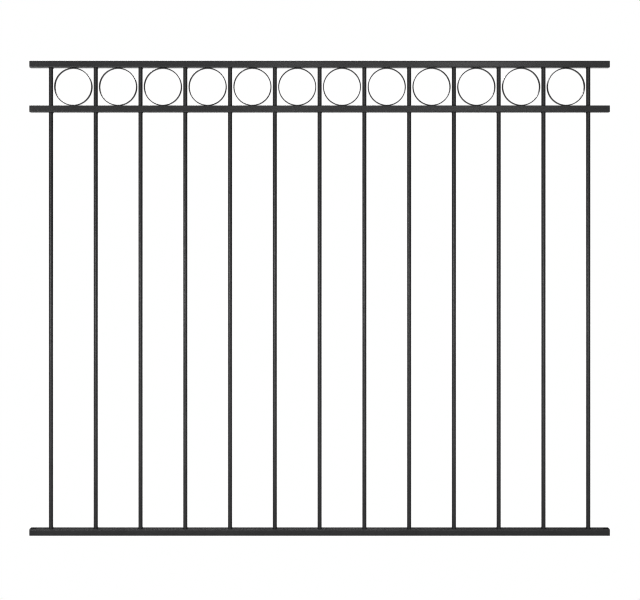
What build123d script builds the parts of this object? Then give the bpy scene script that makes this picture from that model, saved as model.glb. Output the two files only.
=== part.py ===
from build123d import *
import os

# Ornamental steel fence panel. Three square-tube rails carry round bar pickets, which stand in
# the punched bottom rail, pass through the punched middle rail and meet the underside of the
# top rail. A row of rings rolled from flat strip fills the frieze between the two upper rails.
# Frame: X runs along the rails, Y goes through the panel with the front at -Y, Z is up.
# The origin is the middle of the bottom rail's underside. All sizes are in millimetres.

# Rails: square tube with rolled corners
rail_size = 20.0
rail_wall = 2.0
rail_inner_radius = 1.0
rail_overhang = 62.0  # from the centre of the outermost picket to the rail's end

# Fixing slots, down through both walls near each end of the bottom rail
slot_length = 15.0
slot_width = 11.0
slot_end_margin = 3.0  # steel left between the slot and the rail's end

# Pickets: solid round bar
picket_count = 13
picket_diameter = 12.0
picket_hole_clearance = 1.0  # all round, in the punched holes
bay_height = 1252.0  # clear height between the bottom and middle rails

# Rings: flat strip rolled into hoops, each a run of short flats
ring_diameter = 114.0
ring_thickness = 2.5
ring_width = 8.0
ring_flat_count = 40
ring_side_gap = 4.4  # to the picket on either side
ring_weld_gap = 0.05  # to the rail above and below, closed by the weld

# How far a cutting tool runs past the face that it opens
cut_past = 1.0

# Sizes that follow from those above
rail_outer_radius = rail_inner_radius + rail_wall
rail_bore = rail_size - 2 * rail_wall
picket_radius = picket_diameter / 2
picket_hole_radius = picket_radius + picket_hole_clearance
picket_pitch = ring_diameter + 2 * ring_side_gap + picket_diameter
rail_length = (picket_count - 1) * picket_pitch + 2 * rail_overhang
slot_from_middle = rail_length / 2 - slot_end_margin - slot_length / 2
ring_radius = ring_diameter / 2
frieze_height = ring_diameter + 2 * ring_weld_gap

# Heights, measured up from the bottom rail's underside
bottom_rail_z = 0.0
middle_rail_z = bottom_rail_z + rail_size + bay_height
top_rail_z = middle_rail_z + rail_size + frieze_height
panel_top_z = top_rail_z + rail_size
picket_foot_z = bottom_rail_z + rail_wall
picket_head_z = top_rail_z
ring_z = middle_rail_z + rail_size + frieze_height / 2

# Places along the rails
picket_places = [(i - (picket_count - 1) / 2) * picket_pitch for i in range(picket_count)]
ring_places = [x + picket_pitch / 2 for x in picket_places[:-1]]
slot_places = [-slot_from_middle, slot_from_middle]


def upright(profile, low_z, high_z):
    """That profile raised from one height to another."""
    return extrude(Plane.XY.offset(low_z) * profile, high_z - low_z)


def rail_tube(underside_z):
    """Square tube centred on X = 0, open at both ends, with its underside at that height."""
    outside = RectangleRounded(rail_size, rail_size, rail_outer_radius)
    inside = RectangleRounded(rail_bore, rail_bore, rail_inner_radius)
    section = Plane.YZ * Pos(0, underside_z + rail_size / 2) * (outside - inside)
    return extrude(section, rail_length / 2, both=True)


def picket_holes(low_z, high_z):
    """Punches for a round hole at every picket, from one height to another."""
    return [Pos(x, 0) * upright(Circle(picket_hole_radius), low_z, high_z) for x in picket_places]


def bottom_rail():
    """Holed in its top wall only, so that the pickets stand on its floor, and slotted at its ends."""
    centre_z = bottom_rail_z + rail_size / 2
    past_floor = bottom_rail_z - cut_past
    past_roof = bottom_rail_z + rail_size + cut_past
    slot = SlotOverall(slot_length, slot_width)
    slots = [Pos(x, 0) * upright(slot, past_floor, past_roof) for x in slot_places]
    return (rail_tube(bottom_rail_z) - picket_holes(centre_z, past_roof) - slots).solid()


def middle_rail():
    """Holed in both walls, so that the pickets pass right through."""
    past_floor = middle_rail_z - cut_past
    past_roof = middle_rail_z + rail_size + cut_past
    return (rail_tube(middle_rail_z) - picket_holes(past_floor, past_roof)).solid()


def top_rail():
    """Left whole: the picket heads meet its underside."""
    return rail_tube(top_rail_z).solid()


def picket(x):
    """Round bar from the floor of the bottom rail up to the underside of the top rail."""
    return (Pos(x, 0) * upright(Circle(picket_radius), picket_foot_z, picket_head_z)).solid()


def ring(x):
    """Strip rolled into a hoop, its width across the panel, standing on the middle rail."""
    outside = RegularPolygon(ring_radius, ring_flat_count)
    inside = RegularPolygon(ring_radius - ring_thickness, ring_flat_count)
    hoop = extrude(Plane.XZ * (outside - inside), ring_width / 2, both=True)
    return (Pos(x, 0, ring_z) * hoop).solid()


def panel():
    """Every piece of the panel by name, counted from the left as seen from the front."""
    pieces = {"bottom_rail": bottom_rail(), "middle_rail": middle_rail(), "top_rail": top_rail()}
    for number, x in enumerate(picket_places, start=1):
        pieces[f"picket_{number:02d}"] = picket(x)
    for number, x in enumerate(ring_places, start=1):
        pieces[f"ring_{number:02d}"] = ring(x)
    return pieces


os.makedirs("parts", exist_ok=True)
for name, solid in panel().items():
    solid.label = name
    export_step(solid, f"parts/{name}.step")
print(f"panel {rail_length:.1f} wide, {rail_size:.1f} deep, {panel_top_z:.1f} high, pitch {picket_pitch:.1f}")
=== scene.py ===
import math

import bpy
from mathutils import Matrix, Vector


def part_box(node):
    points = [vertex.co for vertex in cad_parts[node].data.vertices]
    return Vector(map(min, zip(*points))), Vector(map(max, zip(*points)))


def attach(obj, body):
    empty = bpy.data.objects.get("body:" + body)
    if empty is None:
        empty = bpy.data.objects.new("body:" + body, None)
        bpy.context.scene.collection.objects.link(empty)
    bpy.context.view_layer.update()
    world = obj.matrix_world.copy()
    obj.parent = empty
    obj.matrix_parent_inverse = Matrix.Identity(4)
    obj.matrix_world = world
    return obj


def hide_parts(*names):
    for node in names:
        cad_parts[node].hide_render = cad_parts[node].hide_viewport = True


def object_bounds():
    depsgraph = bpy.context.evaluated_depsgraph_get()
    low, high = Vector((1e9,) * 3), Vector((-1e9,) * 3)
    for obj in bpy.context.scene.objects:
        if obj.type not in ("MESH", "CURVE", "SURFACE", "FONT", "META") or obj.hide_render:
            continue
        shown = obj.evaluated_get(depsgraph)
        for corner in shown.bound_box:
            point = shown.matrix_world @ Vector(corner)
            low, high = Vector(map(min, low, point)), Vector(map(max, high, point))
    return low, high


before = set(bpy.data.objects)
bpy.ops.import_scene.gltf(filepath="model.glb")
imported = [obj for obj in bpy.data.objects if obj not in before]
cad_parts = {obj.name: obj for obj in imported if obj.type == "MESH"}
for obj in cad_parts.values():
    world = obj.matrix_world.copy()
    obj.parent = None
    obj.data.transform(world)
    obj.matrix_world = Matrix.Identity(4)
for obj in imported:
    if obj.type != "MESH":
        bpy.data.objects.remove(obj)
cad_low, cad_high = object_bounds()

# Ornamental steel fence panel in satin black powder coat. The rails and pickets are the packed
# solids. Smooth hoops take the place of the rings, and weld beads are added behind the joints.
# X runs along the rails, the front faces -Y and Z is up. All sizes are in metres.

# Places and sizes read from the panel's own pieces
PICKETS = sorted(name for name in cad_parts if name.startswith("picket_"))
RINGS = sorted(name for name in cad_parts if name.startswith("ring_"))
BOTTOM_LOW, BOTTOM_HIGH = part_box("bottom_rail")
MIDDLE_LOW, MIDDLE_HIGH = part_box("middle_rail")
TOP_LOW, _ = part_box("top_rail")

# Rings: flat strip, rolled round with its edges softened
STRIP_THICKNESS = 0.0025
STRIP_EDGE = 0.0005  # width of the softened edge
STRIP_EDGE_STEPS = 2
STRIP_CORNER = 40.0  # degrees between two faces, past which their edge is softened
HOOP_SIDES = 120
HOOP_CREASE = 30.0  # degrees between two faces, past which their edge shows as a crease

# Welds: a rippled bead behind each picket where it meets a rail, and behind each ring's contacts
BEAD_SIDES = 8
BEAD_CREASE = 60.0
BEAD_RIPPLE = 0.84  # section of every other step, as a share of the full one
BEAD_END = 0.55  # section at a bead's two ends
PICKET_BEAD = 0.0021  # radius of the bead's section
PICKET_BEAD_OUT = 0.0006  # its middle, out from the corner that it fills
PICKET_BEAD_SWEEP = 110.0  # degrees round the back of the picket
PICKET_BEAD_STEPS = 10
RING_BEAD = 0.0015
RING_BEAD_OUT = 0.0004
RING_BEAD_LENGTH = 0.014
RING_BEAD_STEPS = 8
DOUBLED = 0.000001  # points nearer than this are one point

# Powder coat: charcoal black, faintly clouded, with a fine orange-peel skin
COAT_DARK = (0.046, 0.046, 0.047, 1.0)
COAT_PALE = (0.056, 0.056, 0.057, 1.0)
COAT_SMOOTHEST = 0.21
COAT_ROUGHEST = 0.27
COAT_GLOSS = 0.40
CLOUD_SCALE = 9.0
CLOUD_DETAIL = 4.0
CLOUD_ROUGHNESS = 0.55
CLOUD_DARK_UP_TO = 0.30
CLOUD_PALE_FROM = 0.70
PEEL_SCALE = 620.0
PEEL_DETAIL = 3.0
PEEL_ROUGHNESS = 0.5
PEEL_STRENGTH = 0.05
PEEL_DEPTH = 0.0002

# Backdrop: strength of its light from the front, from overhead and from everywhere else. The first
# two fade in from start to full, which are places on a sphere of radius 1, along Y and up Z.
WHITE = (1.0, 1.0, 1.0, 1.0)
FRONT_LIGHT = 1.10
FRONT_TURN = 20.0  # degrees, towards the left of the panel
FRONT_START = 0.15
FRONT_FULL = -0.95
OVERHEAD_LIGHT = 0.55
OVERHEAD_START = 0.26
OVERHEAD_FULL = 0.60
SHADE_LIGHT = 0.10

# Floor
FLOOR_SIZE = 120.0
FLOOR_COLOUR = (0.70, 0.70, 0.70, 1.0)
FLOOR_ROUGHNESS = 0.9

# Sun, with its angles in degrees
SUN_POWER = 0.60
SUN_SPREAD = 80.0
SUN_TILT = 20.0
SUN_LEAN = -15.0

# Camera: level, square to the panel, in a frame of 640 by 600 pixels
FRAME_WIDTH = 640.0
FRAME_HEIGHT = 600.0
PIXEL = 0.0030  # metres to a pixel on the panel's front
DISTANCE = 2.70  # from the panel's front
FOOT_ROW = 536.0  # row of the panel's underside
HORIZON_UP = 70.0  # rows from the middle of the frame up to the camera's own height
ASIDE = 0.0012  # to the right of the panel's middle
SENSOR_WIDTH = 36.0  # millimetres
PIXEL_FILTER = 1.2  # pixels that one sample is spread over
TONE_GAMMA = 0.65


def take(piece):
    """Select this piece alone and make it the active one."""
    bpy.ops.object.select_all(action="DESELECT")
    piece.select_set(True)
    bpy.context.view_layer.objects.active = piece


def settle(piece, name):
    """Name the piece and put its place and turn into its mesh."""
    piece.name = name
    take(piece)
    bpy.ops.object.transform_apply(location=True, rotation=True, scale=True)
    return piece


def modify(piece, kind, **settings):
    """Add a modifier to the piece and apply it."""
    take(piece)
    modifier = piece.modifiers.new(kind.lower(), kind)
    for key, value in settings.items():
        setattr(modifier, key, value)
    bpy.ops.object.modifier_apply(modifier=modifier.name)


def pick(piece, wanted):
    """Select, in edit mode, only the points for which wanted is true."""
    take(piece)
    bpy.ops.object.mode_set(mode="EDIT")
    bpy.ops.mesh.select_mode(type="VERT")
    bpy.ops.mesh.select_all(action="DESELECT")
    bpy.ops.object.mode_set(mode="OBJECT")
    for point in piece.data.vertices:
        point.select = wanted(point.co)
    bpy.ops.object.mode_set(mode="EDIT")


def close_up(piece):
    """Merge doubled points, fill the open ends and turn every face outwards."""
    take(piece)
    bpy.ops.object.mode_set(mode="EDIT")
    bpy.ops.mesh.select_all(action="SELECT")
    bpy.ops.mesh.remove_doubles(threshold=DOUBLED)
    bpy.ops.mesh.fill_holes(sides=BEAD_SIDES)
    bpy.ops.mesh.normals_make_consistent(inside=False)
    bpy.ops.object.mode_set(mode="OBJECT")


def placed_copy(piece, name, shift):
    """A copy with a mesh of its own, moved, its place in its mesh."""
    take(piece)
    bpy.ops.object.duplicate_move(TRANSFORM_OT_translate={"value": shift})
    return settle(bpy.context.object, name)


def joined(pieces, name):
    """These pieces as one mesh."""
    bpy.ops.object.select_all(action="DESELECT")
    for piece in pieces:
        piece.select_set(True)
    bpy.context.view_layer.objects.active = pieces[0]
    bpy.ops.object.join()
    return settle(bpy.context.object, name)


def hoop():
    """The first ring: a band of strip rolled round, given its thickness and soft edges."""
    low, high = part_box(RINGS[0])
    middle = (low + high) / 2
    bpy.ops.object.select_all(action="DESELECT")
    bpy.ops.mesh.primitive_circle_add(
        vertices=HOOP_SIDES,
        radius=(high.x - low.x) / 2,
        location=(middle.x, low.y, middle.z),
        rotation=(math.radians(90.0), 0.0, 0.0),
    )
    band = settle(bpy.context.object, "hoop_01")
    bpy.ops.object.mode_set(mode="EDIT")
    bpy.ops.mesh.select_all(action="SELECT")
    bpy.ops.mesh.extrude_region_move(TRANSFORM_OT_translate={"value": (0.0, high.y - low.y, 0.0)})
    bpy.ops.mesh.select_all(action="SELECT")
    bpy.ops.mesh.normals_make_consistent(inside=False)
    bpy.ops.object.mode_set(mode="OBJECT")
    modify(band, "SOLIDIFY", thickness=STRIP_THICKNESS, offset=-1.0)
    modify(
        band,
        "BEVEL",
        width=STRIP_EDGE,
        segments=STRIP_EDGE_STEPS,
        limit_method="ANGLE",
        angle_limit=math.radians(STRIP_CORNER),
    )
    bpy.ops.object.shade_smooth_by_angle(angle=math.radians(HOOP_CREASE))
    return band


def bead_section(number, steps):
    """Size of a bead's section at one of its steps, as a share of the full one."""
    if number in (0, steps):
        return BEAD_END
    return BEAD_RIPPLE if number % 2 else 1.0


def ripple(piece, step, step_middle, steps):
    """Draw in every other section of a bead, and most of all its two ends."""
    for number in range(steps + 1):
        share = bead_section(number, steps)
        pick(piece, lambda point: step(point) == number)
        bpy.ops.transform.resize(value=(share, share, share), center_override=step_middle(number))
        bpy.ops.object.mode_set(mode="OBJECT")


def picket_bead():
    """Bead round the back of a picket that stands at the origin, on a face at height 0."""
    low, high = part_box(PICKETS[0])
    reach = (high.x - low.x) / 2 + PICKET_BEAD_OUT
    start = math.radians(90.0 - PICKET_BEAD_SWEEP / 2)
    sweep = math.radians(PICKET_BEAD_SWEEP)
    bpy.ops.object.select_all(action="DESELECT")
    bpy.ops.mesh.primitive_circle_add(
        vertices=BEAD_SIDES,
        radius=PICKET_BEAD,
        location=(reach * math.cos(start), reach * math.sin(start), 0.0),
        rotation=(math.radians(90.0), 0.0, start),
    )
    bead = settle(bpy.context.object, "picket_bead")
    bpy.ops.object.mode_set(mode="EDIT")
    bpy.ops.mesh.select_all(action="SELECT")
    bpy.ops.mesh.spin(
        steps=PICKET_BEAD_STEPS, angle=sweep, center=(0.0, 0.0, 0.0), axis=(0.0, 0.0, -1.0)
    )
    bpy.ops.object.mode_set(mode="OBJECT")

    def step(point):
        turned = (math.atan2(point.y, point.x) - start) % (2 * math.pi)
        return round(turned / sweep * PICKET_BEAD_STEPS)

    def step_middle(number):
        turned = start + sweep * number / PICKET_BEAD_STEPS
        return (reach * math.cos(turned), reach * math.sin(turned), 0.0)

    ripple(bead, step, step_middle, PICKET_BEAD_STEPS)
    close_up(bead)
    bpy.ops.object.shade_smooth_by_angle(angle=math.radians(BEAD_CREASE))
    return bead


def ring_bead():
    """Straight bead along X, centred on the origin."""
    stride = RING_BEAD_LENGTH / RING_BEAD_STEPS
    bpy.ops.object.select_all(action="DESELECT")
    bpy.ops.mesh.primitive_circle_add(
        vertices=BEAD_SIDES,
        radius=RING_BEAD,
        location=(-RING_BEAD_LENGTH / 2, 0.0, 0.0),
        rotation=(0.0, math.radians(90.0), 0.0),
    )
    bead = settle(bpy.context.object, "ring_bead")
    bpy.ops.object.mode_set(mode="EDIT")
    bpy.ops.mesh.select_all(action="SELECT")
    for _ in range(RING_BEAD_STEPS):
        bpy.ops.mesh.extrude_region_move(TRANSFORM_OT_translate={"value": (stride, 0.0, 0.0)})
    bpy.ops.object.mode_set(mode="OBJECT")

    def step(point):
        return round((point.x + RING_BEAD_LENGTH / 2) / stride)

    def step_middle(number):
        return (-RING_BEAD_LENGTH / 2 + stride * number, 0.0, 0.0)

    ripple(bead, step, step_middle, RING_BEAD_STEPS)
    close_up(bead)
    bpy.ops.object.shade_smooth_by_angle(angle=math.radians(BEAD_CREASE))
    return bead


def dress(piece, coat):
    """Give a new piece the coat and let it ride with the panel."""
    piece.data.materials.clear()
    piece.data.materials.append(coat)
    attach(piece, "root")


def rings(coat):
    """Every ring as a smooth hoop in place of its plainer solid."""
    first = hoop()
    first_low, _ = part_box(RINGS[0])
    hoops = [first]
    for number, node in enumerate(RINGS[1:], start=2):
        low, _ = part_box(node)
        hoops.append(placed_copy(first, f"hoop_{number:02d}", (low.x - first_low.x, 0.0, 0.0)))
    for piece, node in zip(hoops, RINGS):
        dress(piece, coat)
        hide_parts(node)


def row_of_beads(pattern, places, name, coat):
    """Copies of one bead at those places, as one piece."""
    beads = [placed_copy(pattern, "bead", place) for place in places]
    dress(joined(beads, name), coat)


def welds(coat):
    """The beads behind the pickets, rail by rail, and behind the rings."""
    pattern = picket_bead()
    heights = {
        "bottom_rail_welds": [BOTTOM_HIGH.z + PICKET_BEAD_OUT],
        "middle_rail_welds": [MIDDLE_LOW.z - PICKET_BEAD_OUT, MIDDLE_HIGH.z + PICKET_BEAD_OUT],
        "top_rail_welds": [TOP_LOW.z - PICKET_BEAD_OUT],
    }
    for name, rail_heights in heights.items():
        places = []
        for node in PICKETS:
            low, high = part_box(node)
            places += [((low.x + high.x) / 2, 0.0, height) for height in rail_heights]
        row_of_beads(pattern, places, name, coat)
    bpy.data.objects.remove(pattern)

    pattern = ring_bead()
    ring_heights = [MIDDLE_HIGH.z + RING_BEAD_OUT, TOP_LOW.z - RING_BEAD_OUT]
    places = []
    for node in RINGS:
        low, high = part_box(node)
        places += [((low.x + high.x) / 2, high.y + RING_BEAD_OUT, height) for height in ring_heights]
    row_of_beads(pattern, places, "ring_welds", coat)
    bpy.data.objects.remove(pattern)


def noise(nodes, links, source, scale, detail, roughness):
    """A noise texture on the piece's own coordinates."""
    texture = nodes.new("ShaderNodeTexNoise")
    texture.inputs["Scale"].default_value = scale
    texture.inputs["Detail"].default_value = detail
    texture.inputs["Roughness"].default_value = roughness
    links.new(source, texture.inputs["Vector"])
    return texture.outputs["Fac"]


def powder_coat():
    """Satin charcoal-black powder coat with a fine orange-peel skin."""
    material = bpy.data.materials.new("powder_coat")
    material.use_nodes = True
    nodes = material.node_tree.nodes
    links = material.node_tree.links
    shader = nodes["Principled BSDF"]
    shader.inputs["Specular IOR Level"].default_value = COAT_GLOSS
    place = nodes.new("ShaderNodeTexCoord").outputs["Object"]

    cloud = noise(nodes, links, place, CLOUD_SCALE, CLOUD_DETAIL, CLOUD_ROUGHNESS)
    tint = nodes.new("ShaderNodeValToRGB")
    dark, pale = tint.color_ramp.elements
    dark.position = CLOUD_DARK_UP_TO
    dark.color = COAT_DARK
    pale.position = CLOUD_PALE_FROM
    pale.color = COAT_PALE
    links.new(cloud, tint.inputs["Fac"])
    links.new(tint.outputs["Color"], shader.inputs["Base Color"])

    sheen = nodes.new("ShaderNodeMapRange")
    sheen.inputs["To Min"].default_value = COAT_SMOOTHEST
    sheen.inputs["To Max"].default_value = COAT_ROUGHEST
    links.new(cloud, sheen.inputs["Value"])
    links.new(sheen.outputs["Result"], shader.inputs["Roughness"])

    peel = noise(nodes, links, place, PEEL_SCALE, PEEL_DETAIL, PEEL_ROUGHNESS)
    skin = nodes.new("ShaderNodeBump")
    skin.inputs["Strength"].default_value = PEEL_STRENGTH
    skin.inputs["Distance"].default_value = PEEL_DEPTH
    links.new(peel, skin.inputs["Height"])
    links.new(skin.outputs["Normal"], shader.inputs["Normal"])
    return material


def fade_in(nodes, links, source, start, full, strength):
    """From 0 up to that strength as the source goes from start to full, eased at both ends."""
    eased = nodes.new("ShaderNodeMapRange")
    eased.interpolation_type = "SMOOTHSTEP"
    eased.inputs["From Min"].default_value = start
    eased.inputs["From Max"].default_value = full
    eased.inputs["To Max"].default_value = strength
    links.new(source, eased.inputs["Value"])
    return eased.outputs["Result"]


def at_least(nodes, links, source, least):
    """The source, but never under a plain number."""
    larger = nodes.new("ShaderNodeMath")
    larger.operation = "MAXIMUM"
    links.new(source, larger.inputs[0])
    larger.inputs[1].default_value = least
    return larger.outputs["Value"]


def brighter(nodes, links, first, second):
    """The larger of two sources."""
    larger = nodes.new("ShaderNodeMath")
    larger.operation = "MAXIMUM"
    links.new(first, larger.inputs[0])
    links.new(second, larger.inputs[1])
    return larger.outputs["Value"]


def white_cyclorama():
    """Plain white backdrop, with the light on the panel coming from the front and overhead."""
    surround = bpy.data.worlds.new("white_cyclorama")
    bpy.context.scene.world = surround
    surround.use_nodes = True
    nodes = surround.node_tree.nodes
    links = surround.node_tree.links

    turned = nodes.new("ShaderNodeMapping")
    turned.inputs["Rotation"].default_value = (0.0, 0.0, math.radians(FRONT_TURN))
    links.new(nodes.new("ShaderNodeTexCoord").outputs["Generated"], turned.inputs["Vector"])
    heading = nodes.new("ShaderNodeSeparateXYZ")
    links.new(turned.outputs["Vector"], heading.inputs["Vector"])

    depth = heading.outputs["Y"]
    height = heading.outputs["Z"]
    front = fade_in(nodes, links, depth, FRONT_START, FRONT_FULL, FRONT_LIGHT)
    overhead = fade_in(nodes, links, height, OVERHEAD_START, OVERHEAD_FULL, OVERHEAD_LIGHT)
    light = at_least(nodes, links, brighter(nodes, links, front, overhead), SHADE_LIGHT)
    seen = nodes.new("ShaderNodeLightPath").outputs["Is Camera Ray"]
    background = nodes["Background"]
    background.inputs["Color"].default_value = WHITE
    links.new(brighter(nodes, links, light, seen), background.inputs["Strength"])


def studio_floor():
    """Pale floor that the panel stands on, as white to the camera as the backdrop that it meets."""
    bpy.ops.object.select_all(action="DESELECT")
    bpy.ops.mesh.primitive_plane_add(size=FLOOR_SIZE, location=(0.0, 0.0, BOTTOM_LOW.z))
    floor = bpy.context.object
    floor.name = "floor"
    material = bpy.data.materials.new("white_floor")
    material.use_nodes = True
    nodes = material.node_tree.nodes
    links = material.node_tree.links
    paint = nodes["Principled BSDF"]
    paint.inputs["Base Color"].default_value = FLOOR_COLOUR
    paint.inputs["Roughness"].default_value = FLOOR_ROUGHNESS
    paint.inputs["Specular IOR Level"].default_value = 0.0
    white = nodes.new("ShaderNodeEmission")
    white.inputs["Color"].default_value = WHITE
    seen = nodes.new("ShaderNodeMixShader")
    links.new(nodes.new("ShaderNodeLightPath").outputs["Is Camera Ray"], seen.inputs["Fac"])
    links.new(paint.outputs["BSDF"], seen.inputs[1])
    links.new(white.outputs["Emission"], seen.inputs[2])
    links.new(seen.outputs["Shader"], nodes["Material Output"].inputs["Surface"])
    floor.data.materials.append(material)


def soft_sun():
    """A broad sun overhead."""
    sun = bpy.data.lights.new("soft_sun", "SUN")
    sun.energy = SUN_POWER
    sun.angle = math.radians(SUN_SPREAD)
    sun_object = bpy.data.objects.new("soft_sun", sun)
    sun_object.rotation_euler = (math.radians(SUN_TILT), math.radians(SUN_LEAN), 0.0)
    bpy.context.collection.objects.link(sun_object)


def softbox(name, place, width, height, watts, tilt=90.0, turn=0.0):
    """A flat lamp, tilted up from facing down and turned to the side, in degrees."""
    lamp = bpy.data.lights.new(name, "AREA")
    lamp.shape = "RECTANGLE"
    lamp.size = width
    lamp.size_y = height
    lamp.energy = watts
    lamp_object = bpy.data.objects.new(name, lamp)
    lamp_object.location = place
    lamp_object.rotation_euler = (math.radians(tilt), 0.0, math.radians(turn))
    lamp_object.visible_camera = False
    bpy.context.collection.objects.link(lamp_object)


def studio_lights():
    """A soft sun, softboxes in front and behind, and a lamp over the floor on either side."""
    soft_sun()
    softbox("softbox_left", (-0.18, -4.0, 2.38), width=0.30, height=1.2, watts=5.0)
    softbox("softbox_right", (1.18, -4.0, 2.38), width=0.75, height=1.2, watts=11.5)
    softbox("strip_light", (-2.2, -3.2, 0.80), width=0.60, height=1.0, watts=25.0, turn=-33.0)
    softbox("low_softbox", (-0.4, -3.6, 0.40), width=4.00, height=0.8, watts=40.0)
    softbox("front_floor_light", (-0.2, -1.6, 0.40), width=3.00, height=1.5, watts=40.0, tilt=0.0)
    softbox("rear_floor_light", (0.0, 6.0, 0.60), width=10.0, height=6.0, watts=300.0, tilt=0.0)
    softbox("rear_softbox", (-0.8, 3.4, 3.0), width=3.20, height=1.2, watts=75.0, tilt=56.0, turn=193.0)


def photograph():
    """Level camera square to the panel, framed as the photograph is."""
    camera = bpy.data.cameras.new("camera")
    camera.sensor_width = SENSOR_WIDTH
    camera.lens = SENSOR_WIDTH * (DISTANCE / PIXEL) / FRAME_WIDTH
    camera.shift_y = -HORIZON_UP / FRAME_WIDTH
    eye = bpy.data.objects.new("camera", camera)
    height = (FOOT_ROW - (FRAME_HEIGHT / 2 - HORIZON_UP)) * PIXEL
    eye.location = (ASIDE, cad_low[1] - DISTANCE, height)
    eye.rotation_euler = (math.radians(90.0), 0.0, 0.0)
    bpy.context.collection.objects.link(eye)
    scene = bpy.context.scene
    scene.camera = eye
    scene.view_settings.view_transform = "Standard"
    scene.view_settings.gamma = TONE_GAMMA
    scene.cycles.filter_width = PIXEL_FILTER


coat = powder_coat()
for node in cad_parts.values():
    node.data.materials.clear()
    node.data.materials.append(coat)
rings(coat)
welds(coat)

white_cyclorama()
studio_floor()
studio_lights()
photograph()
